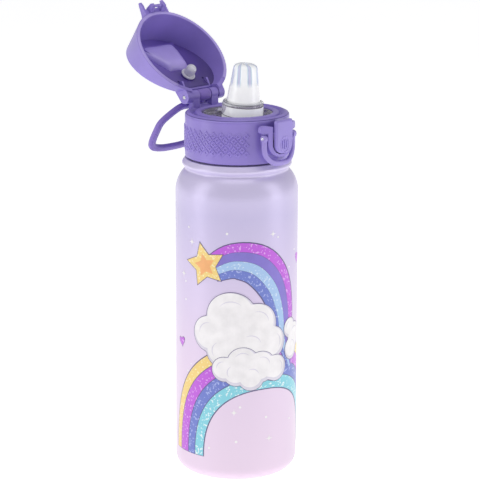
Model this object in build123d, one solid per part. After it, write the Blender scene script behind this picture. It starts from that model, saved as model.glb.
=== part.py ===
from build123d import *
import os
from math import atan, cos, degrees, radians, sin, sqrt

# Insulated kids' bottle, millimetres. Origin: centre of the base on the surface it stands on, +Z up.
# The latch faces -Y and the lid hinge is at +Y. The flip lid is built closed and then turned open.

# ---- driving dimensions ----
BODY_R = 36.5             # outer radius of the steel body
SHELL_T = 0.8             # steel wall
FOOT_FILLET = 7.7
BASE_HOLE_R = 25.0        # opening in the shell that the base disc closes
SHOULDER_Z = 172.0        # full radius ends here
SHOULDER_FILLET = 18.0
GROOVE_R, GROOVE_Z = 30.4, 185.5
BEAD_R, BEAD_Z = 33.0, 188.6
NECK_SEAT_Z = 191.7       # top of the bead, under the collar
NECK_R = 26.4             # root radius of the neck thread
NECK_TOP_Z = 210.4
LIP_T = 0.8
LINER_R = 33.2            # outer radius of the inner liner
LINER_FLOOR_Z = 8.0
MOUTH_R = 24.2
THREAD_PITCH, THREAD_DEPTH, THREAD_TURNS = 4.0, 1.1, 1.5

COLLAR_R = 30.8
COLLAR_BORE_R = 29.2
COLLAR_Z0 = 192.7
COLLAR_TOP_Z = 219.2
DECK_Z = 213.8            # underside of the collar's top plate
WELL_R = 21.0             # hole in the collar for the spout seat
SLEEVE_BORE_R = 28.0

SPOUT_Y = -4.2            # spout axis, towards the latch
SPOUT_TILT = 4.8          # degrees towards the latch
SPOUT_BASE_R, SPOUT_TIP_R, SPOUT_TIP_Z = 9.7, 7.0, 247.8
BOSS_R, BOSS_BORE_R, BOSS_TOP_Z = 12.0, 10.6, 224.0
STRAW_R, STRAW_BORE_R, STRAW_END_Z = 3.5, 2.75, 14.0
VENT_Y = 12.0             # vent valve, between the boss and the hinge
VENT_TOP_Z = 219.0

HINGE_Y, HINGE_Z = 29.0, 225.2
PIN_R = 1.25
RUN = 0.05                # radial clearance of a running fit
KNUCKLE_R = 3.4
BARREL_HALF = 4.6
KNUCKLE_X = (5.0, 10.5)
EAR_X = (10.9, 15.3)
EAR_R = 3.9
LID_OPEN = 135.0          # degrees from closed to the open stop

LID_RIM_Z = 220.4
LID_R, LID_TOP_R, LID_T = 31.0, 27.4, 2.4
LID_DEPTH = 15.3          # above the rim, on the bottle's axis
LID_SLOPE = 0.338         # the roof falls towards the hinge
BACK_WALL_R = (4.7, 6.0)  # arch of the lid over the knuckles
PLUG_LEAN = 8.0           # degrees, the vent plug leans towards the hinge

PAD_Y, PAD_R = -8.0, 29.0 # bulged face of the latch surround
PAD_TOP_Z, PAD_LOW_Z = 216.8, 197.4
PAD_DIP_Z = 215.4         # the top edge falls towards the button
PAD_WIDE, PAD_NARROW = 14.5, 10.4
PAD_STEP_Z = 211.8        # underside of the wide flange
BUTTON_FRONT_Y, BUTTON_BACK_Y = -38.6, -36.4
LEDGE_Y, LEDGE_Z = -32.9, 218.3   # the button's ledge hooks over the catch bar
BUTTON_HALF, BUTTON_TOP_Z, BUTTON_LOW_Z = 6.9, 218.9, 199.3
BUTTON_PIN = (-33.6, 209.5)
BAIL_PIN = (-33.4, 208.6)
BAIL_X = (10.8, 13.5)
BAIL_LOW_Z = 192.0
CATCH_BAR = (-33.2, 217.3)
CATCH_R = 0.9

LOOP_ANGLE = -54.0        # the loop hangs this far below the horizontal
LOOP_W, LOOP_T = 4.8, 3.2


# ---- helpers ----
def outline(rows):
    """Closed face in the XZ plane from rows of radius, height and corner radius."""
    points = [(r, 0, z) for r, z, _ in rows]
    return make_face(FilletPolyline(*points, radius=[c for _, _, c in rows], close=True))


def turned(rows):
    return revolve(outline(rows), Axis.Z)


def tube(r_out, r_in, z0, z1):
    height = z1 - z0
    low = (Align.CENTER, Align.CENTER, Align.MIN)
    bore = Pos(0, 0, z0 - 1) * Cylinder(r_in, height + 2, align=low)
    return Pos(0, 0, z0) * Cylinder(r_out, height, align=low) - bore


def disc(r, z0, z1):
    return Pos(0, 0, z0) * Cylinder(r, z1 - z0, align=(Align.CENTER, Align.CENTER, Align.MIN))


def cross_rod(r, x0, x1, y, z):
    """Cylinder along X."""
    return Pos((x0 + x1) / 2, y, z) * Rot(0, 90, 0) * Cylinder(r, x1 - x0)


def box(x0, x1, y0, y1, z0, z1):
    return Pos((x0 + x1) / 2, (y0 + y1) / 2, (z0 + z1) / 2) * Box(x1 - x0, y1 - y0, z1 - z0)


def side_plate(sketch, x0, x1):
    """A side view, drawn as Y and Z, made into a plate between two X planes."""
    return extrude(Plane.YZ.offset(x0) * sketch, x1 - x0)


def front_prism(rows, y_front, y_back):
    """A front view, rows of X, Z and corner radius, extruded from y_front back to y_back."""
    points = [(x, z) for x, z, _ in rows]
    face = make_face(FilletPolyline(*points, radius=[c for _, _, c in rows], close=True))
    return extrude(Plane.XZ.offset(-y_back) * face, y_back - y_front)


def both_sides(shape):
    return shape + mirror(shape, Plane.YZ)


def opened(shape):
    return shape.rotate(Axis((0, HINGE_Y, HINGE_Z), (1, 0, 0)), -LID_OPEN)


def leaned(shape):
    """Leans a shape built about the spout's vertical axis towards the latch."""
    return shape.rotate(Axis((0, SPOUT_Y, DECK_Z), (1, 0, 0)), SPOUT_TILT)


# ---- bottle ----
def body_rows(inset):
    """Outline of the steel body, moved inwards by a wall thickness."""
    corner = (SHOULDER_FILLET - inset) * (sqrt(2) - 1)
    return [
        (0, inset, 0), (BODY_R - inset, inset, FOOT_FILLET - inset),
        (BODY_R - inset, SHOULDER_Z + corner, SHOULDER_FILLET - inset),
        (GROOVE_R - 1.41 * inset, GROOVE_Z, 1.2 + inset), (BEAD_R - 1.35 * inset, BEAD_Z, 1.6 - inset),
        (GROOVE_R + 0.5 - 0.6 * inset, NECK_SEAT_Z - inset, 0.4), (NECK_R - inset, NECK_SEAT_Z - inset, 0.4),
        (NECK_R - inset, NECK_TOP_Z, 0), (0, NECK_TOP_Z, 0),
    ]


def outer_shell():
    shell = turned(body_rows(0)) - turned(body_rows(SHELL_T))
    shell -= disc(BASE_HOLE_R, -1, 3)
    return shell + neck_thread()


def neck_thread():
    helix = Helix(THREAD_PITCH, THREAD_PITCH * THREAD_TURNS, NECK_R - 0.15, center=(0, 0, 200.5))
    start = Plane(helix @ 0, x_dir=(1, 0, 0), z_dir=helix % 0)
    ridge = make_face(Polyline((0, -1.1), (THREAD_DEPTH, -0.35), (THREAD_DEPTH, 0.35), (0, 1.1), close=True))
    return sweep(start * ridge, path=helix, is_frenet=True)


def liner_rows(inset):
    return [
        (0, LINER_FLOOR_Z + inset, 0), (LINER_R - inset, LINER_FLOOR_Z + inset, 9 - inset),
        (LINER_R - inset, 174 - inset / 2, 12 - inset), (25.0 - inset, 184 - inset / 2, 8 + inset),
        (25.0 - inset, NECK_TOP_Z, 0), (0, NECK_TOP_Z, 0),
    ]


def inner_liner():
    liner = turned(liner_rows(0)) - turned(liner_rows(SHELL_T))
    return liner + tube(NECK_R, MOUTH_R, NECK_TOP_Z, NECK_TOP_Z + LIP_T)


def base_disc():
    return turned([
        (0, 1.8, 0), (21.5, 1.8, 1.5), (23.6, 0.3, 0.6), (BASE_HOLE_R, 0.3, 0),
        (BASE_HOLE_R, 1.1, 0), (24.0, 1.1, 0.6), (22.0, 2.6, 1.0), (0, 2.6, 0),
    ])


def getter_capsule():
    return turned([(0, 2.6, 0), (6.0, 2.6, 0), (6.0, 5.0, 1.0), (0, 5.0, 0)])


# ---- screw lid ----
def lid_gasket():
    lip = NECK_TOP_Z + LIP_T
    return turned([(24.4, lip + 0.05, 0.4), (27.4, lip + 0.05, 0.4), (27.4, lip + 1.75, 0.4), (24.4, lip + 1.75, 0.4)])


def thread_sleeve():
    top = DECK_Z
    return turned([
        (SLEEVE_BORE_R, COLLAR_Z0 + 0.5, 0), (COLLAR_BORE_R, COLLAR_Z0 + 0.5, 0),
        (COLLAR_BORE_R, top, 0), (22.6, top, 0), (22.6, top - 0.75, 0), (SLEEVE_BORE_R, top - 0.75, 0.3),
    ])


def collar():
    ring = turned([
        (COLLAR_BORE_R, COLLAR_Z0, 0), (COLLAR_R, COLLAR_Z0, 0.8), (COLLAR_R, COLLAR_TOP_Z, 2.6),
        (28.0, COLLAR_TOP_Z, 0), (26.0, 217.0, 0.15), (25.3, 217.0, 0.15), (24.6, 218.9, 0.6),
        (22.2, 219.4, 0.5), (WELL_R, 218.8, 0.2), (WELL_R, DECK_Z, 0), (COLLAR_BORE_R, DECK_Z, 0),
    ])
    return ring + hinge_knuckles() + latch_pad()


def hinge_knuckles():
    """Two fixed knuckles on stems that rise from the back of the collar."""
    eye = Pos(HINGE_Y, HINGE_Z) * Circle(KNUCKLE_R)
    front, back, foot = HINGE_Y - KNUCKLE_R + 0.3, HINGE_Y + 0.6, 215.4
    stem = make_face(Polyline((front, HINGE_Z), (back, HINGE_Z), (back, foot), (front, foot), close=True))
    knuckle = side_plate(eye + stem, *KNUCKLE_X)
    knuckle -= cross_rod(PIN_R, 0, 20, HINGE_Y, HINGE_Z)
    return both_sides(knuckle)


def latch_pad():
    """Bulged surround of the latch: a thin wide flange above a narrow block that carries the pins."""
    slot = BUTTON_HALF + 0.5
    face = Pos(0, PAD_Y, 0) * disc(PAD_R, PAD_LOW_Z - 1, PAD_TOP_Z + 1)
    behind = Pos(0, PAD_Y, 0) * disc(PAD_R - 1.9, PAD_LOW_Z - 2, PAD_TOP_Z + 2)
    flange = front_prism([
        (-PAD_WIDE, PAD_TOP_Z, 2.2), (-slot, PAD_DIP_Z, 0), (slot, PAD_DIP_Z, 0), (PAD_WIDE, PAD_TOP_Z, 2.2),
        (PAD_WIDE, PAD_STEP_Z, 1.2), (-PAD_WIDE, PAD_STEP_Z, 1.2),
    ], -40, -20) & (face - behind)
    block = front_prism(plate_rows(PAD_NARROW, PAD_DIP_Z, PAD_LOW_Z, 8.5, top_corner=0), -40, -20)
    block = (block & face) - disc(COLLAR_R - 0.6, PAD_LOW_Z - 2, PAD_TOP_Z + 2)
    pocket = front_prism(plate_rows(slot, 224, BUTTON_LOW_Z - 0.5, 6.3, top_corner=0), -41, -20)
    pad = flange + block - pocket
    pad -= cross_rod(0.8, -9.7, 9.7, *BUTTON_PIN)
    return pad - both_sides(cross_rod(0.9, 9.9, 14, *BAIL_PIN))


def plate_rows(half, top, low, low_corner, top_corner=1.0):
    """Front view of a plate that is even left and right, with rounded corners."""
    return [(-half, top, top_corner), (half, top, top_corner), (half, low, low_corner), (-half, low, low_corner)]


def spout_seat():
    """Clear dish with a raised boss round the spout and a low turret for the vent valve."""
    dish = turned([
        (0, DECK_Z, 0), (WELL_R - 0.05, DECK_Z, 0), (WELL_R - 0.05, 218.4, 0.4), (19.6, 218.2, 0.4),
        (18.6, 216.2, 1.0), (0, 216.2, 0),
    ])
    dish += Pos(0, SPOUT_Y, 0) * disc(BOSS_R, DECK_Z, BOSS_TOP_Z)
    dish += Pos(0, VENT_Y, 0) * disc(3.8, DECK_Z, VENT_TOP_Z - 1.2)
    dish -= Pos(0, SPOUT_Y, 0) * disc(BOSS_BORE_R, DECK_Z - 1, BOSS_TOP_Z + 1)
    return dish - Pos(0, VENT_Y, 0) * disc(2.2, DECK_Z - 1, VENT_TOP_Z)


def spout_ring():
    ring = turned([(10.0, BOSS_TOP_Z, 0.2), (11.7, BOSS_TOP_Z, 0.2), (11.7, 225.7, 0.5), (10.2, 225.7, 0.3)])
    return Pos(0, SPOUT_Y, 0) * ring


def spout():
    """Soft hollow bite spout with a clamped flange, closed by a domed tip."""
    foot = DECK_Z + 1.2
    tip = SPOUT_TIP_Z + 0.1 - foot
    skin = turned([
        (0, 0, 0), (9.2, 0, 0), (9.2, 10.5, 0.5), (SPOUT_BASE_R, 12.5, 1.0), (SPOUT_TIP_R + 0.3, tip, 3.4), (0, tip, 0),
    ])
    hollow = turned([
        (0, -1, 0), (7.4, -1, 0), (7.9, 12.5, 1.0), (SPOUT_TIP_R - 1.4, tip - 1.9, 2.4), (0, tip - 1.9, 0),
    ])
    body = leaned(Pos(0, SPOUT_Y, foot) * (skin - hollow))
    keep = Pos(0, SPOUT_Y, 0) * disc(SPOUT_BASE_R, foot, SPOUT_TIP_Z + 5)
    return (body & keep) + Pos(0, SPOUT_Y, 0) * tube(10.5, 7.3, DECK_Z + 0.2, DECK_Z + 1.6)


def straw_adapter():
    hub = turned([
        (STRAW_BORE_R, 203.0, 0), (STRAW_R + 1.5, 203.0, 0.5), (STRAW_R + 1.5, DECK_Z - 1.3, 0.4),
        (10.4, DECK_Z - 1.3, 0.4), (10.4, DECK_Z + 0.2, 0.2), (STRAW_BORE_R, DECK_Z + 0.2, 0),
    ])
    socket = disc(STRAW_R, 202, 210)
    return Pos(0, SPOUT_Y, 0) * (hub - socket)


def straw():
    tip = Pos(0, 0, STRAW_END_Z) * Rot(25, 0, 0) * Box(20, 20, 4)
    return Pos(0, SPOUT_Y, 0) * (tube(STRAW_R, STRAW_BORE_R, STRAW_END_Z, 210) - tip)


def vent_valve():
    """Rubber umbrella valve in the seat's turret."""
    cap = VENT_TOP_Z - 1.15
    valve = turned([
        (0, 211.6, 0), (1.5, 211.6, 0.3), (2.7, 213.3, 0.3), (2.1, DECK_Z - 0.05, 0), (2.1, cap, 0),
        (3.2, cap, 0.2), (3.0, VENT_TOP_Z - 0.3, 0.4), (0, VENT_TOP_Z, 0),
    ])
    return Pos(0, VENT_Y, 0) * valve


def hinge_pin():
    return chamfer_ends(cross_rod(PIN_R, -EAR_X[1] - 0.1, EAR_X[1] + 0.1, HINGE_Y, HINGE_Z), 0.3)


def chamfer_ends(rod, size):
    return chamfer(rod.edges().filter_by(GeomType.CIRCLE), size)


# ---- flip lid ----
def roof_plane(depth):
    """Plane of the slanted roof, this far above the rim on the axis."""
    tilt = degrees(atan(LID_SLOPE))
    return Plane(Pos(0, 0, LID_RIM_Z + depth) * Rot(-tilt, 0, 0))


def dome(r_rim, r_top, depth, rim_z):
    """Solid between the round rim and the slanted roof."""
    stretch = sqrt(1 + LID_SLOPE ** 2)
    rim = Pos(0, 0, rim_z) * Circle(r_rim)
    roof = roof_plane(depth) * Ellipse(r_top, r_top * stretch)
    return loft([rim, roof], ruled=True)


def lid_shell():
    shell = dome(LID_R, LID_TOP_R, LID_DEPTH, LID_RIM_Z)
    shell = fillet(shell.edges().sort_by(Axis.Z)[-1], 1.6)
    shell += both_sides(hinge_ear()) + catch_tab()
    shell -= lid_cavity()
    shell -= hinge_gap()
    shell += back_wall()
    shell -= cross_rod(PIN_R + RUN, -20, 20, HINGE_Y, HINGE_Z)
    return opened(shell)


def hinge_gap():
    """Room in the lid's back, between the ears, for the knuckles and their stems."""
    half = EAR_X[0]
    gap = cross_rod(BACK_WALL_R[0], -half, half, HINGE_Y, HINGE_Z)
    return gap + box(-half, half, HINGE_Y - BACK_WALL_R[1], HINGE_Y + 9, LID_RIM_Z - 1, HINGE_Z)


def lid_cavity():
    return dome(LID_R - LID_T, LID_TOP_R - LID_T, LID_DEPTH - 2.0, LID_RIM_Z - 0.01)


def hinge_ear():
    eye = Pos(HINGE_Y, HINGE_Z) * Circle(EAR_R)
    root = make_face(Polyline(
        (HINGE_Y, HINGE_Z + EAR_R), (18, 228.4), (18, LID_RIM_Z), (25.5, LID_RIM_Z), (HINGE_Y, HINGE_Z - EAR_R),
        close=True))
    return side_plate(eye + root, *EAR_X)


def back_wall():
    """Arched wall of the lid over the knuckles, between the ears, with a gusset at each end."""
    inner, outer = BACK_WALL_R
    half = EAR_X[0]
    wall = cross_rod(outer, -half, half, HINGE_Y, HINGE_Z) - cross_rod(inner, -half, half, HINGE_Y, HINGE_Z)
    wall &= box(-half, half, HINGE_Y - 9, HINGE_Y + 9, HINGE_Z, HINGE_Z + 9)
    gusset = side_plate(make_face(Polyline(
        (23.8, 225.2), (18.4, 223.8), (16.8, 229.0), (23.8, 228.0), close=True)), 9.6, half)
    return (wall + both_sides(gusset)) & dome(LID_R, LID_TOP_R, LID_DEPTH, LID_RIM_Z)


def catch_tab():
    """Hook lugs for the catch bar, with a horn each side."""
    root = side_plate(make_face(Polyline(
        (-28.5, LID_RIM_Z), (-33.4, LID_RIM_Z), (-34.4, 221.4), (-34.0, 222.8), (-28.5, 226.0), close=True)), -9.6, 9.6)
    horn = side_plate(make_face(Polyline(
        (-30.0, LID_RIM_Z), (-36.2, 219.5), (-38.4, 219.7), (-38.8, 220.9), (-36.8, 222.0), (-30.0, 224.6),
        close=True)), 8.0, 9.6)
    lug = side_plate(make_face(Polyline(
        (-30.4, 221.0), (-32.0, 216.1), (-34.3, 216.0), (-34.6, 221.0), close=True)), 3.2, 5.8)
    lugs = lug - cross_rod(CATCH_R, 0, 10, *CATCH_BAR)
    return root + both_sides(horn) + both_sides(lugs)


def catch_bar():
    return opened(cross_rod(CATCH_R, -5.8, 5.8, *CATCH_BAR))


def lid_liner():
    """Floor of the lid's inside, with the wedge that folds the spout and the post of the vent plug."""
    wedge = extrude(Plane.XY.offset(LID_RIM_Z + 4) * make_face(Polyline(
        (-5, 4), (5, 4), (14, -17), (-14, -17), close=True)), 30)
    wedge &= roof_slab(LID_DEPTH - 6.0, 3.5)
    post = plug_place() * Pos(0, 0, 7.4) * Cone(3.7, 5.6, 9.0, align=(Align.CENTER, Align.CENTER, Align.MIN))
    liner = roof_slab(LID_DEPTH - 3.4, 3.0) + wedge + post
    liner &= lid_cavity()
    liner -= cross_rod(BACK_WALL_R[1], -EAR_X[0], EAR_X[0], HINGE_Y, HINGE_Z)
    liner -= both_sides(box(9.6, EAR_X[0], 16, 26, 222, 230))
    return opened(liner - plug_place() * disc(1.6, 6, 9.6))


def plug_place():
    """Tip of the vent plug, just above the closed valve."""
    return Pos(0, VENT_Y, VENT_TOP_Z + 0.05) * Rot(-PLUG_LEAN, 0, 0)


def roof_slab(depth, thickness):
    plane = roof_plane(depth)
    return extrude(plane * Rectangle(90, 90), thickness)


def vent_plug():
    """Soft domed plug on the post that closes the vent valve."""
    plug = turned([
        (0, 0, 0), (3.1, 0, 2.9), (3.3, 6.4, 0.2), (4.4, 6.4, 0.3), (4.4, 7.4, 0.3),
        (1.6, 7.4, 0), (1.6, 9.6, 0.3), (0, 9.6, 0),
    ])
    return opened(plug_place() * plug)


# ---- latch ----
def latch_button():
    half = BUTTON_HALF
    plate = front_prism(plate_rows(half, BUTTON_TOP_Z, BUTTON_LOW_Z, 5.8), BUTTON_FRONT_Y, BUTTON_BACK_Y)
    plate = chamfer(plate.faces().sort_by(Axis.Y)[0].edges(), 0.9)
    plate += box(-2.7, 2.7, BUTTON_BACK_Y, LEDGE_Y, LEDGE_Z, BUTTON_TOP_Z)
    plate += box(-6.4, 6.4, BUTTON_BACK_Y, BUTTON_PIN[0], BUTTON_PIN[1] - 1.7, BUTTON_PIN[1] + 1.7)
    plate += cross_rod(1.7, -6.4, 6.4, *BUTTON_PIN)
    plate += grip_ribs()
    return plate - cross_rod(0.8 + RUN, -10, 10, *BUTTON_PIN)


def grip_ribs():
    """Thumb grip: upright ribs inside an oval."""
    ribs = Part()
    for i in (-1, 0, 1):
        height = 5.6 - 1.2 * abs(i)
        rib = Pos(1.7 * i, BUTTON_FRONT_Y, 204.6) * Rot(90, 0, 0) * extrude(SlotOverall(height, 0.9, rotation=90), 0.5)
        ribs += rib
    return ribs


def button_pin():
    return cross_rod(0.8, -9.7, 9.7, *BUTTON_PIN)


def button_spring():
    back, front, turns = -COLLAR_R, BUTTON_BACK_Y, 3.0
    wire_r, coil_r = 0.25, 1.7
    rise = back - front - 2 * wire_r
    helix = Helix(rise / turns, rise, coil_r)
    start = Plane(helix @ 0, z_dir=helix % 0)
    coil = sweep(start * Circle(wire_r), path=helix, is_frenet=True)
    return Pos(0, back - wire_r, 203.0) * Rot(90, 0, 0) * coil


def lock_bail():
    """U-shaped bail that follows the surround's curve and swings on two short pins."""
    x_in, x_out = BAIL_X
    strap = front_prism(plate_rows(x_out, BAIL_PIN[1], BAIL_LOW_Z, 10.5, top_corner=0), -42, -28)
    strap -= front_prism(plate_rows(x_in, BAIL_PIN[1] + 1, BAIL_LOW_Z + 3.0, 8.0, top_corner=0), -43, -27)
    strap &= Pos(0, PAD_Y, 0) * tube(29.6, 27.0, BAIL_LOW_Z - 2, BAIL_PIN[1] + 3)
    bail = strap + both_sides(cross_rod(2.05, x_in, x_out, *BAIL_PIN))
    return bail - cross_rod(0.9 + RUN, -20, 20, *BAIL_PIN)


def bail_pin(side):
    rod = cross_rod(0.9, 9.9, BAIL_X[1] + 0.1, *BAIL_PIN)
    return rod if side > 0 else mirror(rod, Plane.YZ)


# ---- carry loop ----
def carry_loop():
    """Flexible ring with a barrel on the hinge pin, between the fixed knuckles."""
    angle = radians(LOOP_ANGLE)
    normal = (0, -sin(angle), cos(angle))
    plane = Plane((0, HINGE_Y, HINGE_Z), x_dir=(1, 0, 0), z_dir=normal)
    side = [(5.0, 7.0), (14.0, 7.4), (24.8, 19.5), (21.5, 41.0), (0, 44.4)]
    path = FilletPolyline(*side, *[(-x, s) for x, s in side[-2::-1]], radius=[6, 9, 11, 60, 11, 9, 6])
    ring = extrude(plane * trace(path, LOOP_W), LOOP_T / 2, both=True)
    web = make_face(Polyline(
        (2.4, 0), (4.4, 0), (4.4, 4.4), (8.5, 4.8), (8.5, 9.3), (5.0, 9.3), (2.4, 5.0), close=True))
    ring += both_sides(extrude(plane * web, LOOP_T / 2, both=True))
    ring += cross_rod(KNUCKLE_R, -BARREL_HALF, BARREL_HALF, HINGE_Y, HINGE_Z)
    return ring - cross_rod(PIN_R + RUN, -20, 20, HINGE_Y, HINGE_Z)


PARTS = {
    "outer_shell": outer_shell, "inner_liner": inner_liner, "base_disc": base_disc,
    "getter_capsule": getter_capsule, "lid_gasket": lid_gasket, "collar": collar,
    "thread_sleeve": thread_sleeve, "spout_seat": spout_seat, "spout_ring": spout_ring,
    "spout": spout, "straw_adapter": straw_adapter, "straw": straw, "vent_valve": vent_valve,
    "hinge_pin": hinge_pin, "lid_shell": lid_shell, "lid_liner": lid_liner, "vent_plug": vent_plug,
    "catch_bar": catch_bar, "latch_button": latch_button, "button_pin": button_pin,
    "button_spring": button_spring, "lock_bail": lock_bail,
    "bail_pin_left": lambda: bail_pin(-1), "bail_pin_right": lambda: bail_pin(1),
    "carry_loop": carry_loop,
}

os.makedirs("parts", exist_ok=True)
for node, make in PARTS.items():
    export_step(make(), f"parts/{node}.step")
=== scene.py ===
import math
import random

import bmesh
import bpy
from mathutils import Matrix, Vector


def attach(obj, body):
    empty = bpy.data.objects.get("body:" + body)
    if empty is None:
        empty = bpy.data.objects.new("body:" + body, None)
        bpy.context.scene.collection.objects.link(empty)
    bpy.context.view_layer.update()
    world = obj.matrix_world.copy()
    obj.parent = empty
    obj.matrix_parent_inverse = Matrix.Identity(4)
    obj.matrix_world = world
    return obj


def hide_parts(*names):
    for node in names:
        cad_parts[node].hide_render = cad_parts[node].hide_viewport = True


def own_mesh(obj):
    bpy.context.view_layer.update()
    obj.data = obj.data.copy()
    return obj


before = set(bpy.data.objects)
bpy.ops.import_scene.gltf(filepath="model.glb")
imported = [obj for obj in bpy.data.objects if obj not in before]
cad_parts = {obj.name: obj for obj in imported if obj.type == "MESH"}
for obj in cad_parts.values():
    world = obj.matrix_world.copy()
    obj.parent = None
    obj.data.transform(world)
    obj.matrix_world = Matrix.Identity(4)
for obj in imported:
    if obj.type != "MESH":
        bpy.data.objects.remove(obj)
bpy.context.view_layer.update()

# Insulated kids' bottle with its flip lid open. Metres, in the CAD frame: +Z up, the latch faces -Y.
VIEW_TURN = math.radians(46)      # the camera's frame against the bottle's frame, about Z
BODY_R = 0.0365
COLLAR_R = 0.0308
SPOUT_AT = Vector((0, -0.0042, 0.215))
SPOUT_LEAN = math.radians(4.8)
SPOUT_FLUTES = 9
SURROUND_Y = -0.008               # centre of the latch surround's bulge
HINGE = Vector((0, 0.029, 0.2252))
LID_TILT = math.radians(-135)     # the lid is drawn closed and turned open
LID_RIM_Z = 0.2204                # the closed lid's rim
LOOP_TILT = math.radians(-54)
PRINT_CENTRE = math.radians(-136) # where the middle of the print is on the body
PRINT_STRIP = 0.0016              # width of the strips that let flat shapes bend
PRINT_LAYER = 0.00003             # height of one layer of print


# ---- colours and materials ----
def srgb(r, g, b):
    """Linear colour from 0-255 values."""
    def linear(v):
        v /= 255
        return v / 12.92 if v <= 0.04045 else ((v + 0.055) / 1.055) ** 2.4
    return (linear(r), linear(g), linear(b), 1)


LILAC = srgb(142, 124, 204)


class Shader:
    """A material's node tree with short helpers."""

    def __init__(self, name):
        self.mat = bpy.data.materials.new(name)
        self.mat.use_nodes = True
        self.tree = self.mat.node_tree
        self.bsdf = self.tree.nodes["Principled BSDF"]
        self.coord = self.node("ShaderNodeTexCoord").outputs["Object"]

    def node(self, kind, **inputs):
        n = self.tree.nodes.new(kind)
        for key, value in inputs.items():
            n.inputs[key].default_value = value
        return n

    def link(self, a, b):
        self.tree.links.new(a, b)

    def set(self, **values):
        for key, value in values.items():
            self.bsdf.inputs[key.replace("_", " ")].default_value = value
        return self

    def noise(self, scale, detail=3.0, stretch=None):
        n = self.node("ShaderNodeTexNoise", Scale=scale, Detail=detail)
        coord = self.coord
        if stretch:
            m = self.node("ShaderNodeMapping", Scale=stretch)
            self.link(coord, m.inputs["Vector"])
            coord = m.outputs["Vector"]
        self.link(coord, n.inputs["Vector"])
        return n.outputs["Fac"]

    def ramp(self, fac, *stops):
        r = self.node("ShaderNodeValToRGB")
        while len(r.color_ramp.elements) < len(stops):
            r.color_ramp.elements.new(0.5)
        for element, (at, colour) in zip(r.color_ramp.elements, stops):
            element.position = at
            element.color = colour
        self.link(fac, r.inputs["Fac"])
        return r.outputs["Color"]

    def math(self, operation, *terms):
        """Result of a math node whose terms are sockets or plain numbers."""
        n = self.node("ShaderNodeMath")
        n.operation = operation
        for slot, term in zip(n.inputs, terms):
            if isinstance(term, (int, float)):
                slot.default_value = term
            else:
                self.link(term, slot)
        return n.outputs[0]

    def span(self, value, low, high):
        """Value mapped from low and high to 0 and 1."""
        m = self.node("ShaderNodeMapRange")
        m.inputs["From Min"].default_value = low
        m.inputs["From Max"].default_value = high
        self.link(value, m.inputs["Value"])
        return m.outputs["Result"]

    def place(self):
        """Sockets with the X, Y and Z of the shaded point."""
        parts = self.node("ShaderNodeSeparateXYZ")
        self.link(self.coord, parts.inputs["Vector"])
        return parts.outputs

    def colour(self, socket):
        self.link(socket, self.bsdf.inputs["Base Color"])
        return self

    def mottle(self, colour, amount, scale):
        """Base colour that drifts a little lighter and darker."""
        low = tuple(c * (1 - amount) for c in colour[:3]) + (1,)
        high = tuple(min(1, c * (1 + amount)) for c in colour[:3]) + (1,)
        return self.colour(self.ramp(self.noise(scale), (0.35, low), (0.65, high)))

    def rough(self, low, high, scale):
        m = self.node("ShaderNodeMapRange")
        m.inputs["To Min"].default_value = low
        m.inputs["To Max"].default_value = high
        self.link(self.noise(scale), m.inputs["Value"])
        self.link(m.outputs["Result"], self.bsdf.inputs["Roughness"])
        return self

    def bump(self, scale, strength, distance=0.0002, stretch=None):
        b = self.node("ShaderNodeBump", Strength=strength, Distance=distance)
        self.link(self.noise(scale, 2.0, stretch), b.inputs["Height"])
        self.link(b.outputs["Normal"], self.bsdf.inputs["Normal"])
        return self


def plastic(name, colour, rough=(0.28, 0.40)):
    s = Shader(name).mottle(colour, 0.05, 60).rough(*rough, 240).bump(900, 0.10)
    return s.set(Coat_Weight=0.15, Coat_Roughness=0.25).mat


def paint():
    """Satin powder coat that fades from lavender at the shoulder to pale pink at the foot."""
    s = Shader("shell_paint")
    height = s.span(s.place()["Z"], 0, 0.2)
    drift = s.math("MULTIPLY_ADD", s.noise(30), 0.06, height)
    s.colour(s.ramp(drift, (0.05, srgb(233, 213, 232)), (0.35, srgb(230, 211, 233)),
                    (0.6, srgb(218, 204, 233)), (0.84, srgb(201, 192, 227)), (0.95, srgb(216, 207, 239))))
    s.rough(0.30, 0.38, 300).bump(1600, 0.08, 0.0001)
    return s.set(Metallic=0.18, Coat_Weight=0.2, Coat_Roughness=0.2).mat


def lid_inner():
    """Lid lining: violet, with painted shade that darkens it towards the lid's right side and its depth,
    away from the light at the left.
    """
    s = Shader("lid_inner")
    from_hinge = s.node("ShaderNodeVectorMath")
    from_hinge.operation = "SUBTRACT"
    from_hinge.inputs[1].default_value = HINGE
    s.link(s.coord, from_hinge.inputs[0])
    along = s.node("ShaderNodeVectorMath")
    along.operation = "DOT_PRODUCT"
    along.inputs[1].default_value = (0.62, -0.62, -0.48)
    s.link(from_hinge.outputs["Vector"], along.inputs[0])
    # painted shade: the lining runs from lit violet to dark violet along this direction
    shade = s.span(along.outputs["Value"], -0.060, 0.005)
    drift = s.math("MULTIPLY_ADD", s.noise(90), 0.08, shade)
    s.colour(s.ramp(drift, (0.0, srgb(152, 130, 216)), (0.45, srgb(108, 87, 176)),
                    (0.95, srgb(68, 52, 118))))
    s.rough(0.30, 0.42, 260).bump(800, 0.08)
    return s.set(Coat_Weight=0.15, Coat_Roughness=0.25).mat


def steel(name, rough=(0.18, 0.34)):
    s = Shader(name).mottle(srgb(205, 206, 210), 0.06, 80).rough(*rough, 500)
    return s.bump(700, 0.10, 0.0001, stretch=(1, 1, 0.05)).set(Metallic=1.0).mat


def clear(name, colour, rough, transmission, ior=1.45):
    s = Shader(name).mottle(colour, 0.03, 70).rough(rough, rough + 0.08, 200).bump(500, 0.05)
    return s.set(Transmission_Weight=transmission, IOR=ior, Coat_Weight=0.3, Coat_Roughness=0.08).mat


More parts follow.
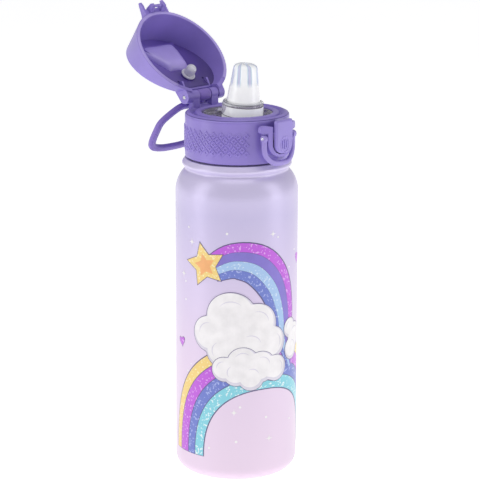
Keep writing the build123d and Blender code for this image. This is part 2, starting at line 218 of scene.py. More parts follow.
def spout_silicone():
    """Milky silicone, whiter below, with a faint painted glow; the fluted half carries faint blue and
    violet streaks.
    """
    s = Shader("clear_silicone")
    x, y, z = s.place()
    turn = s.math("ARCTAN2", s.math("ADD", y, -SPOUT_AT.y), x)
    wave = s.math("SINE", s.math("MULTIPLY", turn, SPOUT_FLUTES))
    streak = s.ramp(wave, (0.0, srgb(252, 253, 254)), (0.25, srgb(238, 244, 248)),
                    (0.60, srgb(172, 202, 220)), (0.85, srgb(196, 200, 230)), (1.0, srgb(206, 204, 234)))
    mix = s.node("ShaderNodeMix")
    mix.data_type = "RGBA"
    s.link(s.span(z, 0.2345, 0.2375), mix.inputs["Factor"])
    plain, streaked = mix.inputs[6], mix.inputs[7]
    plain.default_value = srgb(254, 254, 254)
    s.link(streak, streaked)
    s.colour(mix.outputs[2]).rough(0.10, 0.18, 200).bump(500, 0.05)
    # painted glow: a faint white emission lightens the spout
    s.set(Emission_Color=(1, 1, 1, 1), Emission_Strength=0.10)
    return s.set(Transmission_Weight=0.15, IOR=1.41, Coat_Weight=0.5, Coat_Roughness=0.06).mat


def rubber(name, colour):
    s = Shader(name).mottle(colour, 0.06, 90).rough(0.42, 0.58, 300)
    return s.bump(420, 0.30, 0.0002, stretch=(1, 1, 3)).set(Sheen_Weight=0.15).mat


def print_ink(name, colour, speckle=None):
    """Printed ink: soft mottling, or pale glitter specks where a speckle colour is given."""
    s = Shader(name)
    if speckle:
        s.colour(s.ramp(s.noise(700, 1.0), (0.0, colour), (0.60, colour),
                        (0.66, speckle), (1.0, speckle)))
    else:
        s.mottle(colour, 0.05, 150)
    s.rough(0.26, 0.38, 350).bump(1400, 0.05, 0.00005)
    return s.set(Coat_Weight=0.2, Coat_Roughness=0.15).mat


def coat(node, material):
    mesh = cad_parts[node].data
    mesh.materials.clear()
    mesh.materials.append(material)


# ---- mesh helpers ----
def new_piece(name, bm, material, body, smooth=True):
    """Object made from a bmesh, riding a body; the bmesh is used up."""
    mesh = bpy.data.meshes.new(name)
    bmesh.ops.recalc_face_normals(bm, faces=bm.faces)
    bm.to_mesh(mesh)
    bm.free()
    mesh.materials.append(material)
    piece = bpy.data.objects.new(name, mesh)
    bpy.context.scene.collection.objects.link(piece)
    if smooth:
        for face in mesh.polygons:
            face.use_smooth = True
    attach(piece, body)
    return piece


def add_ring_loops(bm, rings, closed_path=False):
    """Skins a tube through rings of points; open tubes get their ends filled."""
    loops = [[bm.verts.new(p) for p in ring] for ring in rings]
    count = len(loops[0])
    pairs = list(zip(loops, loops[1:]))
    if closed_path:
        pairs.append((loops[-1], loops[0]))
    for a, b in pairs:
        for i in range(count):
            j = (i + 1) % count
            bm.faces.new((a[i], a[j], b[j], b[i]))
    if not closed_path:
        bm.faces.new(loops[0])
        bm.faces.new(list(reversed(loops[-1])))


def turned_rings(profile, steps, radius_at=None):
    """Rings for a profile of (radius, height) turned about Z; radius_at may change each radius."""
    rings = []
    for i in range(steps):
        angle = 2 * math.pi * i / steps
        ring = []
        for r, z in profile:
            r = radius_at(r, z, angle) if radius_at else r
            ring.append(Vector((r * math.cos(angle), r * math.sin(angle), z)))
        rings.append(ring)
    return rings


def torus_rings(radius, tube, steps=96, sides=10):
    rings = []
    for i in range(steps):
        a = 2 * math.pi * i / steps
        ring = []
        for k in range(sides):
            t = 2 * math.pi * k / sides
            r = radius + tube * math.cos(t)
            ring.append(Vector((r * math.cos(a), r * math.sin(a), tube * math.sin(t))))
        rings.append(ring)
    return rings


def moved(rings, matrix):
    return [[matrix @ p for p in ring] for ring in rings]


def ring_piece(name, rings, matrix, material, body):
    """Closed ring-shaped piece: rings that join end to end, moved into place."""
    bm = bmesh.new()
    add_ring_loops(bm, moved(rings, matrix), closed_path=True)
    return new_piece(name, bm, material, body)


def rounded(value, power):
    """Signed power of a sine or cosine, which squares a circle off as the power falls below 1."""
    return math.copysign(abs(value) ** power, value)


def strap_sweep(name, spine, normals, half_w, half_t, material, body, closed, corner):
    """Rounded strap swept along a spine; each normal points across the strap's thickness."""
    rings = []
    count = len(spine)
    power = 2 / (2 + 3 * corner)
    for i in range(count):
        a = spine[i - 1] if i or closed else spine[0]
        b = spine[(i + 1) % count] if closed or i + 1 < count else spine[i]
        n = normals[i].normalized()
        side = (b - a).normalized().cross(n).normalized()
        ring = []
        for k in range(16):
            t = 2 * math.pi * k / 16
            across, through = rounded(math.cos(t), power), rounded(math.sin(t), power)
            ring.append(spine[i] + side * half_w * across + n * half_t * through)
        rings.append(ring)
    bm = bmesh.new()
    add_ring_loops(bm, rings, closed_path=closed)
    return new_piece(name, bm, material, body)


def catmull(a, b, c, d, t):
    """Coordinate on a smooth curve from b to c, with a and d as its neighbours."""
    bend = 2 * a - 5 * b + 4 * c - d
    return 0.5 * (2 * b + (c - a) * t + bend * t * t + (3 * b - a - 3 * c + d) * t ** 3)


def open_lid():
    """Turns what is drawn on the closed lid to where the open lid is."""
    return Matrix.Translation(HINGE) @ Matrix.Rotation(LID_TILT, 4, "X") @ Matrix.Translation(-HINGE)


def spout_place():
    return Matrix.Translation(SPOUT_AT) @ Matrix.Rotation(SPOUT_LEAN, 4, "X")


def on_boss(z):
    """Place on the leaning spout's axis for a ring drawn at a height of the upright boss."""
    return spout_place() @ Matrix.Translation(-SPOUT_AT) @ Matrix.Translation((0, SPOUT_AT.y, z))


# ---- artwork printed on the body, drawn flat in millimetres of arc and height ----
def wrap(bm, low, high):
    """Bends a flat slab round the body; x is arc length, y height and z the slab's two sides."""
    for v in bm.verts:
        angle = PRINT_CENTRE + v.co.x / BODY_R
        r = BODY_R + (high if v.co.z > 0.5 else low)
        v.co = Vector((r * math.cos(angle), r * math.sin(angle), v.co.y))


def printed(name, polygons, material, lift=1):
    """One printed colour: closed polygons given as lists of (arc, height) in millimetres."""
    bm = bmesh.new()
    for points in polygons:
        bm.faces.new([bm.verts.new((x / 1000, z / 1000, 0)) for x, z in points])
    bmesh.ops.remove_doubles(bm, verts=bm.verts, dist=1e-7)
    bmesh.ops.triangulate(bm, faces=bm.faces)
    low_x = min(v.co.x for v in bm.verts)
    high_x = max(v.co.x for v in bm.verts)
    cut = math.ceil(low_x / PRINT_STRIP) * PRINT_STRIP
    while cut < high_x:
        geometry = bm.verts[:] + bm.edges[:] + bm.faces[:]
        bmesh.ops.bisect_plane(bm, geom=geometry, plane_co=(cut, 0, 0), plane_no=(1, 0, 0), dist=1e-7)
        cut += PRINT_STRIP
    extruded = bmesh.ops.extrude_face_region(bm, geom=bm.faces[:])
    for item in extruded["geom"]:
        if isinstance(item, bmesh.types.BMVert):
            item.co.z = 1
    wrap(bm, -PRINT_LAYER, PRINT_LAYER + PRINT_LAYER * lift)
    return new_piece(name, bm, material, "bottle", smooth=False)


def band(left, right):
    """Polygon between two lines of points."""
    return [left + right[::-1]]


def arch(half_width, top, foot=15.0, centre=17.5, steps=40, power=2.25):
    """Points of a rainbow edge from the left foot, over the top and down the right side."""
    points = []
    for i in range(steps + 1):
        t = math.pi * (1 - i / steps)
        c, s = math.cos(t), math.sin(t)
        x = centre + half_width * rounded(c, 2 / power)
        points.append((x, foot + (top - foot) * abs(s) ** (2 / power)))
    return points


def disc_points(x, z, r, steps):
    turns = [2 * math.pi * i / steps for i in range(steps)]
    return [(x + r * math.cos(a), z + r * math.sin(a)) for a in turns]


def star_points(x, z, r, turn=0.0, tips=5, waist=0.5):
    points = []
    for i in range(2 * tips):
        a = math.pi / 2 + turn + math.pi * i / tips
        rr = r if i % 2 == 0 else r * waist
        points.append((x + rr * math.cos(a), z + rr * math.sin(a)))
    return points


def heart_points(x, z, size, turn=0.0, steps=28):
    points = []
    for i in range(steps):
        t = 2 * math.pi * i / steps
        u = size * math.sin(t) ** 3
        v = size * (13 * math.cos(t) - 5 * math.cos(2 * t) - 2 * math.cos(3 * t) - math.cos(4 * t)) / 16
        points.append((x + u * math.cos(turn) - v * math.sin(turn),
                       z + u * math.sin(turn) + v * math.cos(turn)))
    return points


def curl(x, z, r, start, sweep=1.5, steps=12):
    """Thin crescent that hints at a puff inside a cloud, as a row of quads."""
    outer, inner = [], []
    for i in range(steps + 1):
        t = i / steps
        a = start + sweep * t
        w = 0.50 * math.sin(math.pi * t) + 0.08
        outer.append((x + (r + w) * math.cos(a), z + (r + w) * math.sin(a)))
        inner.append((x + r * math.cos(a), z + r * math.sin(a)))
    return [[outer[i], inner[i], inner[i + 1], outer[i + 1]] for i in range(steps)]


def cloud_outline(puffs, grow=0.0, shift=(0, 0), steps=120):
    """Outline of overlapping round puffs seen from their middle."""
    puffs = [(x + shift[0], z + shift[1], r) for x, z, r in puffs]
    cx = sum(p[0] for p in puffs) / len(puffs)
    cz = sum(p[1] for p in puffs) / len(puffs)
    points = []
    for i in range(steps):
        a = 2 * math.pi * i / steps
        d = (math.cos(a), math.sin(a))
        reach = 0.5
        for x, z, r in puffs:
            r += grow
            along = (x - cx) * d[0] + (z - cz) * d[1]
            off = (x - cx) * d[1] - (z - cz) * d[0]
            if abs(off) < r:
                reach = max(reach, along + math.sqrt(r * r - off * off))
        points.append((cx + reach * d[0], cz + reach * d[1]))
    return points


def ribbon(spine, width, shift=0.0, steps=36):
    """Tapering band along a smooth spine through a few points; shift moves it sideways in widths."""
    line = smooth_line(spine, steps)
    left, right = [], []
    for i, (x, z) in enumerate(line):
        a, b = line[max(0, i - 1)], line[min(len(line) - 1, i + 1)]
        length = math.hypot(b[0] - a[0], b[1] - a[1]) or 1
        nx, nz = -(b[1] - a[1]) / length, (b[0] - a[0]) / length
        t = i / (len(line) - 1)
        w = width * (0.25 + 0.75 * math.sin(math.pi * min(1, t * 0.93 + 0.12)) ** 0.8)
        left.append((x + nx * w * (shift + 0.5), z + nz * w * (shift + 0.5)))
        right.append((x + nx * w * (shift - 0.5), z + nz * w * (shift - 0.5)))
    return band(left, right)


def smooth_line(points, steps):
    """Catmull-Rom line through the points."""
    pts = [points[0]] + list(points) + [points[-1]]
    out = []
    spans = len(points) - 1
    for i in range(steps + 1):
        u = i / steps * spans
        k = min(int(u), spans - 1)
        t = u - k
        p0, p1, p2, p3 = pts[k:k + 4]
        out.append(tuple(catmull(*axis, t) for axis in zip(p0, p1, p2, p3)))
    return out


def inks():
    return {
        "line": print_ink("ink_line", srgb(92, 84, 128)),
        "white": print_ink("ink_white", srgb(244, 241, 242)),
        "shade": print_ink("ink_cloud_shade", srgb(221, 216, 228)),
        "gold": print_ink("ink_gold", srgb(246, 214, 130), srgb(253, 240, 190)),
        "orange": print_ink("ink_orange", srgb(244, 176, 112)),
        "magenta": print_ink("ink_magenta", srgb(196, 92, 222), srgb(226, 170, 240)),
        "violet": print_ink("ink_violet", srgb(132, 116, 206)),
        "blue": print_ink("ink_blue", srgb(110, 126, 206), srgb(170, 182, 232)),
        "sky": print_ink("ink_sky", srgb(168, 200, 238), srgb(214, 230, 248)),
        "teal": print_ink("ink_teal", srgb(136, 214, 228), srgb(232, 248, 250)),
    }


def rainbow(ink):
    """Four striped arches; edges from the outside in, each as half width and top height."""
    edges = [(63.3, 88.0), (58.0, 81.0), (50.3, 74.0), (44.4, 66.0), (38.0, 58.0)]
    stripes = [("yellow", "gold"), ("magenta", "magenta"), ("blue", "blue"), ("teal", "teal")]
    inset = 0.22
    printed("print_rainbow_lines", band(arch(63.7, 88.4, 14.8), arch(37.6, 57.6, 14.8)), ink["line"], 1)
    for (name, tone), (wide, top), (next_wide, next_top) in zip(stripes, edges, edges[1:]):
        outer = arch(wide - inset, top - inset, 15.1)
        inner = arch(next_wide + inset, next_top + inset, 15.1)
        printed("print_rainbow_" + name, band(outer, inner), ink[tone], 2)


def shooting_star(ink):
    """Star with a striped ribbon tail that streams over the clouds."""
    tail = [(-15, 131), (-2, 137), (13, 134), (25, 121), (31, 104), (33, 86), (39, 68)]
    printed("print_tail_line", ribbon(tail, 25.5), ink["line"], 3)
    for name, shift in (("magenta", 1.5), ("violet", 0.5), ("sky", -0.5), ("blue", -1.5)):
        printed("print_tail_" + name, ribbon(tail, 5.9, shift * 1.03), ink[name], 4)
    lean, waist = 0.25, 0.52
    printed("print_star_line", [star_points(-19.5, 133.5, 14.2, lean, waist=waist)], ink["line"], 5)
    printed("print_star", [star_points(-19.5, 133.5, 13.4, lean, waist=waist)], ink["gold"], 6)
    printed("print_star_heart", [star_points(-19.5, 133.3, 7.0, lean, waist=waist)], ink["orange"], 7)


def clouds(ink):
    """Puffy clouds, each with an outline, a shaded edge and a few curls."""
    puffs_of = {
        "large": [(-16, 92, 11), (-3, 103, 15), (12, 98, 13), (22, 86, 10), (8, 84, 12), (-8, 82, 10)],
        "front": [(-7, 71, 7.5), (4, 75, 9.5), (15, 72, 9.5), (25, 70, 8.0), (9, 66, 8), (0, 69, 8)],
        "side": [(38, 92, 6), (44, 86, 8), (40, 79, 7)],
    }
    curl_starts = (1.6, 0.9, 0.2, -0.6, 0.4, 2.2)
    for lift, (name, puffs) in zip((8, 11, 8), puffs_of.items()):
        cloud = "print_cloud_" + name
        printed(cloud + "_line", [cloud_outline(puffs, 0.3)], ink["line"], lift)
        printed(cloud + "_shade", [cloud_outline(puffs)], ink["shade"], lift + 1)
        printed(cloud, [cloud_outline(puffs, -1.1, shift=(-0.5, 0.9))], ink["white"], lift + 2)
        curls = []
        for (x, z, r), start in zip(puffs, curl_starts):
            curls += curl(x, z, r * 0.62, start)
        printed(cloud + "_curls", curls, ink["shade"], lift + 3)


def small_marks(ink):
    """Hearts, dots, sparkles, and fine specks on the side away from the picture."""
    printed("print_heart_left_line", [heart_points(-39.5, 83, 3.6, 0.2)], ink["line"], 1)
    printed("print_heart_left", [heart_points(-39.5, 83, 3.2, 0.2)], ink["magenta"], 2)
    printed("print_heart_right", [heart_points(49.5, 132.7, 3.6, -0.2)], ink["magenta"], 2)
    dots = [
        (-31.8, 154.4, 0.9), (-5.6, 153.4, 1.0), (22.6, 151.9, 1.2), (26.4, 149.5, 0.8), (-29, 146, 1.2),
        (10.8, 146.7, 0.8), (43.7, 138.7, 0.8), (-37.1, 125.3, 1.2), (-34.9, 121, 0.8), (37, 129.5, 0.8),
        (-34.9, 109.8, 0.8), (-1.2, 44.2, 1.3), (2.4, 47.6, 0.9), (18.7, 40.1, 1.0), (38.9, 34.6, 0.9),
        (20.9, 26.5, 1.3), (0.1, 26.0, 1.1), (-16.6, 20.9, 0.9), (-33, 66, 0.8), (-30, 71, 0.6),
    ]
    printed("print_dots", [disc_points(x, z, r * 0.75, 14) for x, z, r in dots], ink["white"], 1)
    sparkles = [(-29, 146, 2.6), (22.6, 151.9, 2.4), (-37.1, 125.3, 2.6), (20.9, 26.5, 2.6),
                (-1.2, 44.2, 2.4)]
    printed("print_sparkles", [star_points(x, z, r, tips=4, waist=0.16) for x, z, r in sparkles],
            ink["white"], 2)
    rng = random.Random(7)
    specks = []
    for _ in range(70):
        x, z = rng.uniform(-110, 110), rng.uniform(14, 158)
        specks.append(disc_points(x, z, rng.uniform(0.18, 0.4), 8))
    picture_edge = 52
    printed("print_specks", [p for p in specks if abs(p[0][0]) > picture_edge], ink["white"], 1)


def artwork():
    ink = inks()
    rainbow(ink)
    shooting_star(ink)
    clouds(ink)
    small_marks(ink)


# ---- lid details ----
def bite_spout():
    """Soft spout: smooth lower half with a bead at its foot, fluted upper half, round tip."""
    outside = [
        (0.0074, 0.0), (0.0092, 0.0), (0.0092, 0.0102), (0.0098, 0.0112), (0.0098, 0.0122),
        (0.0096, 0.0134), (0.0090, 0.0182), (0.00865, 0.0205), (0.00845, 0.0212), (0.0083, 0.0225),
        (0.0078, 0.0262), (0.0074, 0.0292), (0.0071, 0.0310), (0.0064, 0.0322), (0.0050, 0.0328),
        (0.0028, 0.0330), (0.0008, 0.0328),
    ]
    inside = [
        (0.0008, 0.0312), (0.0040, 0.0310), (0.0054, 0.0300), (0.0058, 0.0288), (0.0064, 0.0240),
        (0.0068, 0.0210), (0.0078, 0.0130), (0.0074, 0.0100),
    ]
    flute_low, flute_high, depth = 0.0213, 0.0306, 0.0005

    def fluted(r, z, angle):
        if not flute_low < z < flute_high:
            return r
        wave = 0.5 + 0.5 * math.cos(SPOUT_FLUTES * angle)
        return r + depth * 1.6 * wave ** 2 if (r, z) in inside else r - depth * wave ** 3

    rings = turned_rings(outside + inside, 144, fluted)
    piece = ring_piece("bite_spout", rings, spout_place(), spout_silicone(), "lid_base")
    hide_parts("spout")
    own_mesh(piece)


def bail_outline(half, low, bend, top):
    """Points (x, z) of a U from one eye round to the other, close together."""
    left = [(-half, top), (-half, low + bend)]
    for k in range(1, 12):
        a = math.pi + math.pi / 2 * k / 12
        left.append((-half + bend + bend * math.cos(a), low + bend + bend * math.sin(a)))
    left.append((-half + bend, low))
    outline = left + [(-x, z) for x, z in reversed(left)]
    dense = []
    for (x0, z0), (x1, z1) in zip(outline, outline[1:]):
        steps = max(1, int(math.hypot(x1 - x0, z1 - z0) / 0.0012))
        dense += [(x0 + (x1 - x0) * k / steps, z0 + (z1 - z0) * k / steps) for k in range(steps)]
    return dense + [outline[-1]]


def lock_bail(material):
    """U-shaped strap, rounder than its CAD solid, with a round eye at each end."""
    pin = Vector((0, -0.0334, 0.2086))
    half, bulge_r = 0.01215, 0.0283
    spine, normals = [], []
    for x, z in bail_outline(half, 0.1935, 0.0092, pin.z):
        depth = math.sqrt(bulge_r * bulge_r - x * x)
        spine.append(Vector((x, SURROUND_Y - depth, z)))
        normals.append(Vector((x, -depth, 0)))
    piece = strap_sweep("bail_strap", spine, normals, 0.00150, 0.00130, material,
                        "bail", closed=False, corner=0.35)
    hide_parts("lock_bail")
    eye = [(0.00098, -0.0013), (0.0019, -0.0013), (0.00215, -0.0010), (0.00215, 0.0010),
           (0.0019, 0.0013), (0.00098, 0.0013)]
    for name, x in (("bail_eye_left", -half), ("bail_eye_right", half)):
        at = Matrix.Translation((x, pin.y, pin.z)) @ Matrix.Rotation(math.pi / 2, 4, "Y")
        ring_piece(name, turned_rings(eye, 40), at, material, "bail")


def carry_loop(material):
    """Soft rounded ring that hangs from a barrel on the hinge pin by two webs."""
    turn = Matrix.Translation(HINGE) @ Matrix.Rotation(LOOP_TILT, 4, "X")
    half = [(0.0, 0.0078), (0.0085, 0.0073), (0.0140, 0.0082), (0.0190, 0.0128), (0.0232, 0.0192),
            (0.0230, 0.0270), (0.0214, 0.0358), (0.0180, 0.0405), (0.0100, 0.0430), (0.0, 0.0436)]
    full = half + [(-x, s) for x, s in half[-2:0:-1]]
    around = full[-1:] + full + full[:2]
    spine = []
    for k in range(len(full)):
        for j in range(8):
            x, s = (catmull(*axis, j / 8) for axis in zip(*around[k:k + 4]))
            spine.append(turn @ Vector((x, s, 0)))
    up = turn.to_3x3() @ Vector((0, 0, 1))
    piece = strap_sweep("loop_ring", spine, [up] * len(spine), 0.0023, 0.0016, material,
                        "loop", closed=True, corner=0.4)
    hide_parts("carry_loop")
    barrel = [(0.0013, -0.0046), (0.0031, -0.0046), (0.0034, -0.0043), (0.0034, 0.0043),
              (0.0031, 0.0046), (0.0013, 0.0046)]
    at = Matrix.Translation(HINGE) @ Matrix.Rotation(math.pi / 2, 4, "Y")
    ring_piece("loop_barrel", turned_rings(barrel, 56), at, material, "loop")
    turns = [2 * math.pi * k / 16 for k in range(16)]
    for name, x in (("loop_web_left", -0.0033), ("loop_web_right", 0.0033)):
        rings = []
        for s, wide in ((0.0020, 0.0013), (0.0040, 0.0012), (0.0055, 0.0014), (0.0070, 0.0020)):
            rings.append([turn @ Vector((x + wide * math.cos(a), s, 0.0015 * math.sin(a)))
                          for a in turns])
        bm = bmesh.new()
        add_ring_loops(bm, rings)
        new_piece(name, bm, material, "loop")


def collar_grip(material):
    """Low flat-topped diamonds with a dimple, all round the collar's side except behind the latch."""
    count, rows = 40, 3
    low, high = 0.1966, 0.2124
    latch_half_angle = math.radians(32)
    relief = ((0.98, -0.0002), (0.90, 0.00002), (0.66, 0.00048), (0.36, 0.00048), (0.20, 0.00012))
    half_a, half_z = math.pi / count, (high - low) / rows / 2

    def at(angle, z, r):
        return Vector((r * math.cos(angle), r * math.sin(angle), z))

    bm = bmesh.new()
    for row in range(rows * 2 - 1):
        z = low + half_z * (row + 1)
        for i in range(count):
            angle = 2 * math.pi * (i + 0.5 * (row % 2)) / count
            from_latch = (angle + math.pi / 2 + math.pi) % (2 * math.pi) - math.pi
            if abs(from_latch) < latch_half_angle:
                continue
            rings = [[at(angle + du * half_a * scale, z + dv * half_z * scale, COLLAR_R + proud)
                      for du, dv in ((-1, 0), (0, -1), (1, 0), (0, 1))] for scale, proud in relief]
            add_ring_loops(bm, rings)
    new_piece("collar_grip", bm, material, "lid_base", smooth=False)


def collar_lines():
    """Fine dark line of painted shade in the groove and a light ring of painted highlight on the lip,
    round the collar's rounded top edge.
    """
    # painted shade: the dark ring stands for shade in the groove; painted highlight: the light ring
    # stands for the lip's highlight
    tones = (("shade", srgb(92, 76, 152), 0.03010, 0.21835),
             ("lip_highlight", srgb(164, 148, 222), 0.03052, 0.21780))
    for name, tone, radius, height in tones:
        ring_piece(f"collar_{name}", torus_rings(radius, 0.00020), Matrix.Translation((0, 0, height)),
                   plastic(f"collar_{name}_plastic", tone), "lid_base")


def lid_pillow(material):
    """Smooth raised pad in the lid that folds the spout, over the CAD wedge."""
    floor_depth, slope = 0.0093, math.atan(0.338)
    place = (open_lid() @ Matrix.Translation((0, 0, LID_RIM_Z + floor_depth))
             @ Matrix.Rotation(-slope, 4, "X"))
    bm = bmesh.new()
    rows, cols = 14, 16
    grid = []
    for i in range(rows + 1):
        v = i / rows
        y = 0.0062 - v * 0.0262
        half = 0.0075 + 0.0090 * v
        line = []
        for k in range(cols + 1):
            u = 2 * k / cols - 1
            crown = (1 - abs(u) ** 4) ** 0.6 * (1 - abs(2 * v - 1) ** 6) ** 0.6
            sink = 0.0045 * v * (1 - u * u) * (0.6 + 0.4 * v)
            z = 0.0028 - 0.0044 * crown + 0.30 * sink
            line.append(bm.verts.new(place @ Vector((u * half, y, z))))
        grid.append(line)
    for i in range(rows):
        for k in range(cols):
            bm.faces.new((grid[i][k], grid[i][k + 1], grid[i + 1][k + 1], grid[i + 1][k]))
    extruded = bmesh.ops.extrude_face_region(bm, geom=bm.faces[:])
    copied = [g for g in extruded["geom"] if isinstance(g, bmesh.types.BMVert)]
    bmesh.ops.translate(bm, vec=place.to_3x3() @ Vector((0, 0, 0.002)), verts=copied)
    new_piece("fold_pillow", bm, material, "flip_lid")


def lid_rim(material):
    """Rounded bead along the open lid's edge, left out at the hinge; its lighter plastic is a painted
    highlight along the rim.
    """
    place = open_lid()
    radius, steps = 0.02982, 120
    down = place.to_3x3() @ Vector((0, 0, -1))
    spine = []
    for i in range(steps + 1):
        a = math.radians(-90 - 140 + 280 * i / steps)
        spine.append(place @ Vector((radius * math.cos(a), radius * math.sin(a), LID_RIM_Z - 0.0001)))
    strap_sweep("lid_rim_bead", spine, [down] * len(spine), 0.00100, 0.00042, material,
                "flip_lid", closed=False, corner=0.0)


def spout_edges():
    """Thin dark lines where the clear ring and seat bend light at their edges."""
    dark = clear("edge_glass", srgb(92, 92, 100), 0.06, 0.2)
    for name, radius, z, tube in (("upper", 0.01172, 0.2254, 0.00016),
                                  ("middle", 0.01202, 0.2238, 0.00012),
                                  ("lower", 0.01221, 0.2180, 0.00018)):
        ring_piece(f"spout_edge_{name}", torus_rings(radius, tube), on_boss(z), dark,
                   "lid_base")


def boss_band():
    """Milky clear band round the spout's boss, with a faint painted glow."""
    profile = [(0.01195, 0.2148), (0.01215, 0.2148), (0.01222, 0.2152), (0.01222, 0.2168),
               (0.01214, 0.2172), (0.01210, 0.2232), (0.01204, 0.2236), (0.01195, 0.2236)]
    milky = Shader("band_plastic_painted_glow").mottle(srgb(246, 247, 250), 0.02, 70)
    milky.rough(0.08, 0.16, 200).bump(500, 0.05)
    # painted glow: a faint white emission lightens the band
    milky.set(Transmission_Weight=0.12, Emission_Color=(1, 1, 1, 1), Emission_Strength=0.14)
    ring_piece("boss_band", turned_rings(profile, 96), on_boss(0), milky.mat, "lid_base")


def thumb_oval(material):
    """Raised oval round the ribs on the latch button, in a lighter plastic that paints its highlight."""
    middle = Vector((0, -0.0386, 0.2046))
    half_wide, half_high, tube = 0.0034, 0.0046, 0.00032
    turns = [2 * math.pi * k / 10 for k in range(10)]
    rings = []
    for i in range(64):
        a = 2 * math.pi * i / 64
        centre = middle + Vector((half_wide * math.cos(a), 0, half_high * math.sin(a)))
        out = Vector((math.cos(a), 0, math.sin(a)))
        side = Vector((0, 0.9, 0))
        rings.append([centre + tube * (math.cos(b) * out + math.sin(b) * side) for b in turns])
    ring_piece("thumb_oval", rings, Matrix.Identity(4), material, "button")


def spring():
    """Coil behind the latch button."""
    back, front, height = -COLLAR_R, -0.0364, 0.203
    coils, coil_r, wire_r, steps = 3.0, 0.0017, 0.00025, 108
    turns = [2 * math.pi * k / 10 for k in range(10)]
    rings = []
    for i in range(steps + 1):
        t = i / steps
        a = 2 * math.pi * coils * t
        y = back - wire_r + (front - back + 2 * wire_r) * t
        centre = Vector((coil_r * math.cos(a), y, height + coil_r * math.sin(a)))
        out = Vector((math.cos(a), 0, math.sin(a)))
        side = Vector((0, 1, 0))
        rings.append([centre + wire_r * (math.cos(b) * out + math.sin(b) * side) for b in turns])
    bm = bmesh.new()
    add_ring_loops(bm, rings)
    piece = new_piece("button_coil", bm, steel("spring_steel", (0.12, 0.22)), "lid_base")
    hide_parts("button_spring")
    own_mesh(piece)


# ---- stage ----
def in_view_frame(x, y, z):
    """A point given as right, away and up from the camera's side, turned into the bottle's frame."""
    c, s = math.cos(VIEW_TURN), math.sin(VIEW_TURN)
    return Vector((x * c + y * s, -x * s + y * c, z))


def camera():
    distance, height, pitch, yaw, roll = 1.18373, 0.44077, 0.2483, 0.0017, 0.0042
    level = math.cos(pitch)
    forward = in_view_frame(math.sin(yaw) * level, math.cos(yaw) * level, -math.sin(pitch))
    right = forward.cross(Vector((0, 0, 1))).normalized()
    up = right.cross(forward)
    right, up = (right * math.cos(roll) + up * math.sin(roll),
                 up * math.cos(roll) - right * math.sin(roll))
    data = bpy.data.cameras.new("camera")
    data.lens = 153.1
    data.sensor_width = 36
    data.clip_end = 50
    cam = bpy.data.objects.new("camera", data)
    axes = Matrix((right, up, -forward)).transposed().to_4x4()
    cam.matrix_world = Matrix.Translation(in_view_frame(0, -distance, height)) @ axes
    bpy.context.scene.collection.objects.link(cam)
    bpy.context.scene.camera = cam


def softbox(name, at, target, size, power):
    light = bpy.data.lights.new(name, "AREA")
    light.shape = "RECTANGLE"
    light.size, light.size_y = size
    light.energy = power
    lamp = bpy.data.objects.new(name, light)
    lamp.location = in_view_frame(*at)
    aim = in_view_frame(*target) - lamp.location
    lamp.rotation_euler = aim.to_track_quat("-Z", "Y").to_euler()
    bpy.context.scene.collection.objects.link(lamp)


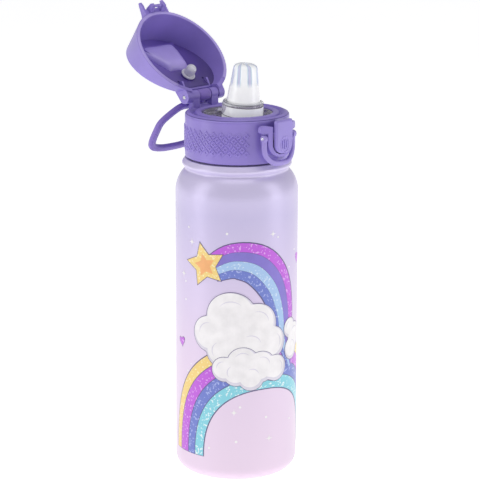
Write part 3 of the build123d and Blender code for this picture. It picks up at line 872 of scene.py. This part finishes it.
def stage():
    """White floor, pale surroundings and three softboxes."""
    mesh = bpy.data.meshes.new("floor")
    half = 30.0
    corners = [(-half, -half, 0), (half, -half, 0), (half, half, 0), (-half, half, 0)]
    mesh.from_pydata(corners, [], [(0, 1, 2, 3)])
    floor = bpy.data.objects.new("floor", mesh)
    bpy.context.scene.collection.objects.link(floor)
    s = Shader("floor_white").mottle((0.92, 0.92, 0.92, 1), 0.01, 2)
    s.set(Roughness=0.9, Emission_Color=(1, 1, 1, 1), Emission_Strength=0.63)
    mesh.materials.append(s.mat)
    world = bpy.data.worlds.new("studio")
    world.use_nodes = True
    background = world.node_tree.nodes["Background"]
    background.inputs["Color"].default_value = (0.97, 0.97, 1.0, 1)
    background.inputs["Strength"].default_value = 0.40
    bpy.context.scene.world = world
    softbox("softbox_left", (-0.75, -0.25, 0.35), (0, 0, 0.14), (0.35, 0.9), 1.6)
    softbox("softbox_right", (0.80, -0.20, 0.35), (0, 0, 0.14), (0.35, 0.9), 1.6)
    softbox("softbox_top", (0.0, -0.15, 1.0), (0, 0, 0.1), (0.7, 0.5), 2.0)
    bpy.context.scene.view_settings.view_transform = "Standard"


def finishes(lilac):
    """Coats every CAD node with its material."""
    pin = steel("pin_steel", (0.12, 0.22))
    seal = clear("seal_silicone", srgb(238, 236, 246), 0.25, 0.35, 1.41)
    clear_plastic = clear("clear_plastic", srgb(248, 249, 252), 0.05, 0.35)
    coat("outer_shell", paint())
    for node in ("inner_liner", "base_disc", "getter_capsule"):
        coat(node, steel("steel_" + node))
    for node in ("collar", "thread_sleeve", "lid_shell", "catch_bar"):
        coat(node, lilac)
    # painted highlight: the button is the lid's lilac made slightly lighter
    coat("latch_button", plastic("button_plastic_painted_highlight", srgb(152, 136, 212)))
    # the lid lining carries painted shade, darker towards its right side and its depth
    coat("lid_liner", lid_inner())
    for node in ("hinge_pin", "button_pin", "button_spring", "bail_pin_left", "bail_pin_right"):
        coat(node, pin)
    for node in ("lid_gasket", "vent_valve", "vent_plug"):
        coat(node, seal)
    coat("spout_seat", clear("seat_plastic", srgb(214, 208, 226), 0.04, 0.78))
    for node in ("spout_ring", "straw"):
        coat(node, clear_plastic)
    coat("straw_adapter", clear("adapter_silicone", srgb(240, 240, 246), 0.3, 0.25, 1.41))


lilac = plastic("lid_plastic", LILAC)
finishes(lilac)
camera()
stage()
artwork()
bite_spout()
lock_bail(plastic("bail_plastic", srgb(158, 141, 214)))
carry_loop(rubber("loop_rubber", srgb(128, 105, 190)))
collar_grip(lilac)
# painted highlight: the pillow's plastic is lighter than the lining where it faces the light
lid_pillow(plastic("lid_pillow", srgb(172, 156, 226), (0.26, 0.36)))
spout_edges()
boss_band()
# painted highlight: the oval is the button's plastic made lighter
thumb_oval(plastic("oval_highlight_plastic", srgb(166, 150, 222)))
collar_lines()
# painted highlight: the rim bead is the lid's lilac made lighter
lid_rim(plastic("rim_highlight_plastic", srgb(172, 156, 224)))
spring()
